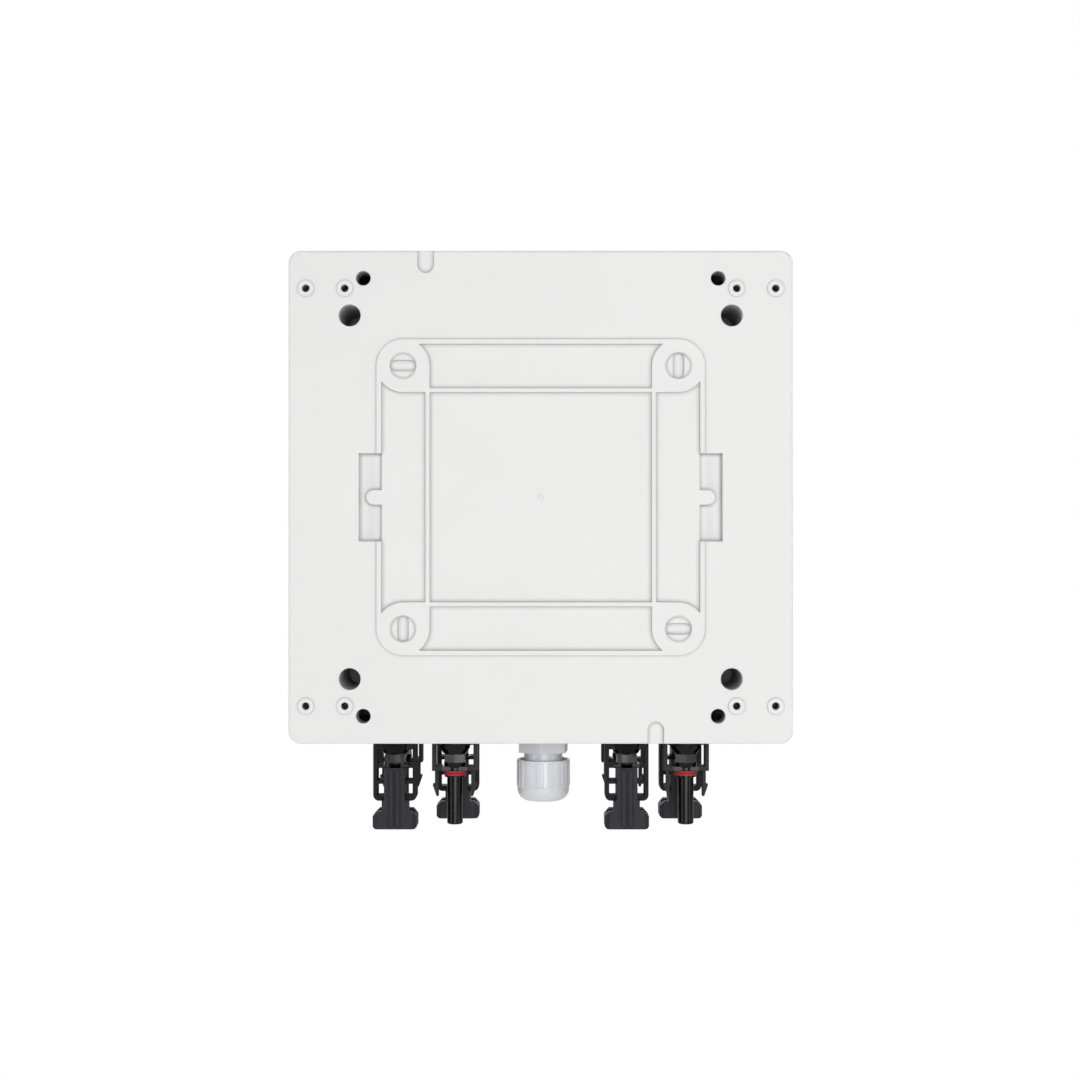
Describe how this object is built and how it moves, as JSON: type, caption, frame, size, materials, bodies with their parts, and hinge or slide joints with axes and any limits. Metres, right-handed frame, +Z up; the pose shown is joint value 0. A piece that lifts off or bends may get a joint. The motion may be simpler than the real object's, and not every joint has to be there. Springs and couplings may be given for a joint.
{
  "type": "solar combiner box",
  "caption": "Wall-mounted solar combiner box: ribbed moulded enclosure, hinged clear door over breakers, locking panel connectors and a cable gland on its underside.",
  "frame": {"origin": "centre of the wall screw pattern, in the wall plane that the back pads touch", "axes": "+Z up, +Y into the wall, the door faces -Y"},
  "size_m": [0.215, 0.1, 0.2502],
  "materials": {
    "box_plastic": "fine matt moulded, very light grey",
    "door_plastic": "clear smoke-tinted, polished",
    "connector_plastic": "black moulded, semi gloss",
    "seal_rubber": "soft black rubber",
    "red_rubber": "soft red rubber",
    "gland_nylon": "light grey nylon, satin gloss",
    "device_plastic": "off-white moulded",
    "lever_plastic": "dark grey moulded",
    "steel": "zinc plated",
    "brass": "plain brass",
    "copper": "bare copper strip",
    "tinned_copper": "tin plated turned copper",
    "holder_blue": "blue moulded",
    "holder_green": "green moulded"
  },
  "bodies": {
    "enclosure": {"back_box": "box_plastic", "front_cover": "box_plastic", "cover_gasket": "seal_rubber", "hinge_pin_left": "steel", "hinge_pin_right": "steel", "din_rail": "steel", "rail_screws": "steel", "main_breaker": "device_plastic", "surge_protector": "device_plastic", "positive_busbar": "copper", "negative_bar": "brass", "earth_bar": "brass", "negative_bar_holder": "holder_blue", "earth_bar_holder": "holder_green", "bar_screws": "steel", "panel_seals": "seal_rubber", "panel_nuts": "connector_plastic", "gland_washer": "seal_rubber", "gland_body": "gland_nylon", "gland_lock_nut": "gland_nylon", "gland_insert": "seal_rubber", "cover_screw_1": "box_plastic", "string_breaker_1": "device_plastic", "male_housing_1": "connector_plastic", "female_housing_1": "connector_plastic", "pin_contact_1": "tinned_copper", "socket_contact_1": "tinned_copper", "nose_seal_1": "red_rubber", "cover_screw_2": "box_plastic", "string_breaker_2": "device_plastic", "male_housing_2": "connector_plastic", "female_housing_2": "connector_plastic", "pin_contact_2": "tinned_copper", "socket_contact_2": "tinned_copper", "nose_seal_2": "red_rubber", "cover_screw_3": "box_plastic", "string_breaker_3": "device_plastic", "male_housing_3": "connector_plastic", "female_housing_3": "connector_plastic", "pin_contact_3": "tinned_copper", "socket_contact_3": "tinned_copper", "nose_seal_3": "red_rubber", "cover_screw_4": "box_plastic", "string_breaker_4": "device_plastic", "male_housing_4": "connector_plastic", "female_housing_4": "connector_plastic", "pin_contact_4": "tinned_copper", "socket_contact_4": "tinned_copper", "nose_seal_4": "red_rubber"},
    "door": {"door": "door_plastic"},
    "string_lever_1": {"string_lever_1": "lever_plastic"},
    "string_lever_2": {"string_lever_2": "lever_plastic"},
    "string_lever_3": {"string_lever_3": "lever_plastic"},
    "string_lever_4": {"string_lever_4": "lever_plastic"},
    "main_lever": {"main_lever": "lever_plastic"},
    "gland_nut": {"gland_dome_nut": "gland_nylon"}
  },
  "joints": [
    {"name": "door_hinge", "type": "hinge", "parent": "enclosure", "child": "door", "pos_m": [0, -0.094, 0.053], "axis": [-1, 0, 0], "range_deg": [0, 110]},
    {"name": "string_lever_1_turn", "type": "hinge", "parent": "enclosure", "child": "string_lever_1", "pos_m": [-0.063, -0.078, 0], "axis": [-1, 0, 0], "range_deg": [0, 80]},
    {"name": "string_lever_2_turn", "type": "hinge", "parent": "enclosure", "child": "string_lever_2", "pos_m": [-0.045, -0.078, 0], "axis": [-1, 0, 0], "range_deg": [0, 80]},
    {"name": "string_lever_3_turn", "type": "hinge", "parent": "enclosure", "child": "string_lever_3", "pos_m": [-0.027, -0.078, 0], "axis": [-1, 0, 0], "range_deg": [0, 80]},
    {"name": "string_lever_4_turn", "type": "hinge", "parent": "enclosure", "child": "string_lever_4", "pos_m": [-0.009, -0.078, 0], "axis": [-1, 0, 0], "range_deg": [0, 80]},
    {"name": "main_lever_turn", "type": "hinge", "parent": "enclosure", "child": "main_lever", "pos_m": [0.018, -0.078, 0], "axis": [-1, 0, 0], "range_deg": [0, 80]},
    {"name": "gland_nut_turn", "type": "hinge", "parent": "enclosure", "child": "gland_nut", "pos_m": [-0.0012, -0.048, -0.125], "axis": [0, 0, -1], "range_deg": [0, 300]}
  ]
}
